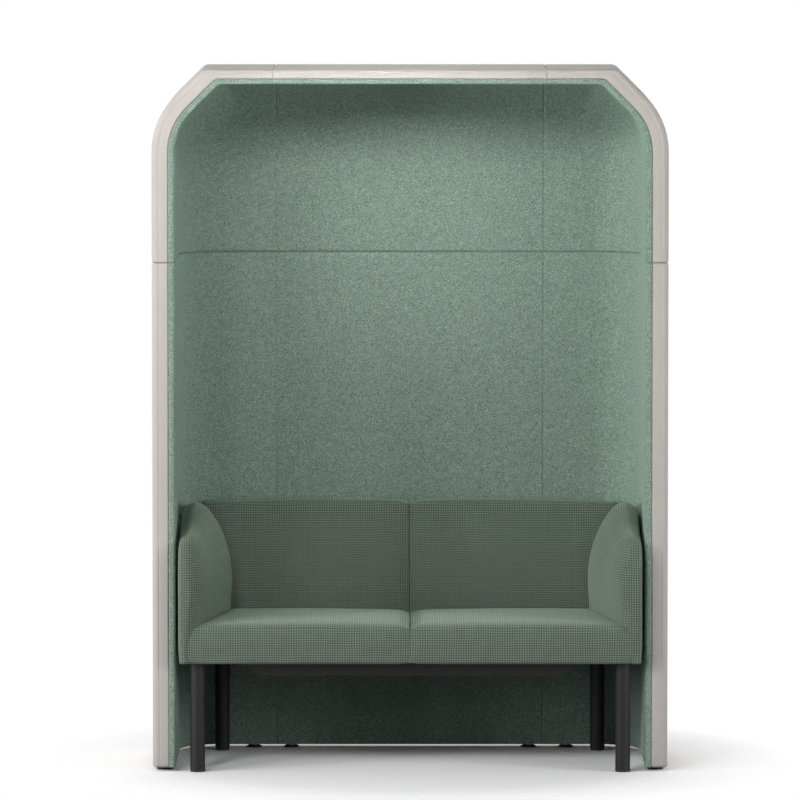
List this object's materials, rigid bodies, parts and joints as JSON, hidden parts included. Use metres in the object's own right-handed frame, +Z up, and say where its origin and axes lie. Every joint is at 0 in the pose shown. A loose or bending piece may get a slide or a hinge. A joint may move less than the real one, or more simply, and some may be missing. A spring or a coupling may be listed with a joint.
{
  "type": "acoustic booth bench",
  "caption": "High-walled upholstered booth with a chamfered, rounded hood around a padded two-seat sofa on round black legs; the wall stands on screw-out levelling feet.",
  "frame": {"origin": "on the floor under the middle of the overall box", "axes": "+X to the sitter's left as seen from the front (viewer's right), +Y to the back wall, +Z up"},
  "size_m": [1.53, 0.708, 2.088],
  "materials": {
    "outer_fabric": "warm grey-beige wool cloth over foam",
    "lining_felt": "grey-green melange felt",
    "sofa_fabric": "two-tone green check weave",
    "core_board": "raw board",
    "plywood": "raw birch plywood",
    "black_steel": "satin black powder coat",
    "black_plastic": "matt black",
    "zinc_steel": "bright zinc plated",
    "black_wood": "black stained beech",
    "dust_cloth": "black non-woven cloth",
    "webbing": "elastic upholstery webbing"
  },
  "bodies": {
    "booth": {"lower_left_cover": "outer_fabric", "lower_left_core": "core_board", "lower_left_lining": "lining_felt", "lower_centre_cover": "outer_fabric", "lower_centre_core": "core_board", "lower_centre_lining": "lining_felt", "lower_right_cover": "outer_fabric", "lower_right_core": "core_board", "lower_right_lining": "lining_felt", "hood_left_cover": "outer_fabric", "hood_left_core": "core_board", "hood_left_lining": "lining_felt", "hood_centre_cover": "outer_fabric", "hood_centre_core": "core_board", "hood_centre_lining": "lining_felt", "hood_right_cover": "outer_fabric", "hood_right_core": "core_board", "hood_right_lining": "lining_felt", "arm_pad_left": "sofa_fabric", "seat_cushion_left": "sofa_fabric", "back_cushion_left": "sofa_fabric", "arm_board_left": "plywood", "arm_pad_right": "sofa_fabric", "seat_cushion_right": "sofa_fabric", "back_cushion_right": "sofa_fabric", "arm_board_right": "plywood", "leg_front_left": "black_steel", "leg_front_right": "black_steel", "leg_rear_left": "black_steel", "leg_rear_right": "black_steel", "seam_dowels": "zinc_steel", "joint_bolts": "zinc_steel", "foot_inserts": "zinc_steel", "tie_bolts": "zinc_steel", "tie_spacers": "black_plastic", "leg_glides": "black_plastic", "leg_studs": "zinc_steel", "leg_tee_nuts": "zinc_steel", "beam_screws": "zinc_steel", "under_seat_beam": "black_wood", "seat_frame": "plywood", "dust_cover": "dust_cloth", "seat_webbing": "webbing", "back_board": "plywood", "rear_panel": "sofa_fabric"},
    "foot_front_left": {"foot_disc_front_left": "black_plastic", "foot_stem_front_left": "zinc_steel"},
    "foot_back_outer_left": {"foot_disc_back_outer_left": "black_plastic", "foot_stem_back_outer_left": "zinc_steel"},
    "foot_back_inner_left": {"foot_disc_back_inner_left": "black_plastic", "foot_stem_back_inner_left": "zinc_steel"},
    "foot_front_right": {"foot_disc_front_right": "black_plastic", "foot_stem_front_right": "zinc_steel"},
    "foot_back_outer_right": {"foot_disc_back_outer_right": "black_plastic", "foot_stem_back_outer_right": "zinc_steel"},
    "foot_back_inner_right": {"foot_disc_back_inner_right": "black_plastic", "foot_stem_back_inner_right": "zinc_steel"}
  },
  "joints": [
    {"name": "level_front_left", "type": "slide", "parent": "booth", "child": "foot_front_left", "axis": [0, 0, -1], "range_m": [0, 0.015]},
    {"name": "level_back_outer_left", "type": "slide", "parent": "booth", "child": "foot_back_outer_left", "axis": [0, 0, -1], "range_m": [0, 0.015]},
    {"name": "level_back_inner_left", "type": "slide", "parent": "booth", "child": "foot_back_inner_left", "axis": [0, 0, -1], "range_m": [0, 0.015]},
    {"name": "level_front_right", "type": "slide", "parent": "booth", "child": "foot_front_right", "axis": [0, 0, -1], "range_m": [0, 0.015]},
    {"name": "level_back_outer_right", "type": "slide", "parent": "booth", "child": "foot_back_outer_right", "axis": [0, 0, -1], "range_m": [0, 0.015]},
    {"name": "level_back_inner_right", "type": "slide", "parent": "booth", "child": "foot_back_inner_right", "axis": [0, 0, -1], "range_m": [0, 0.015]}
  ]
}
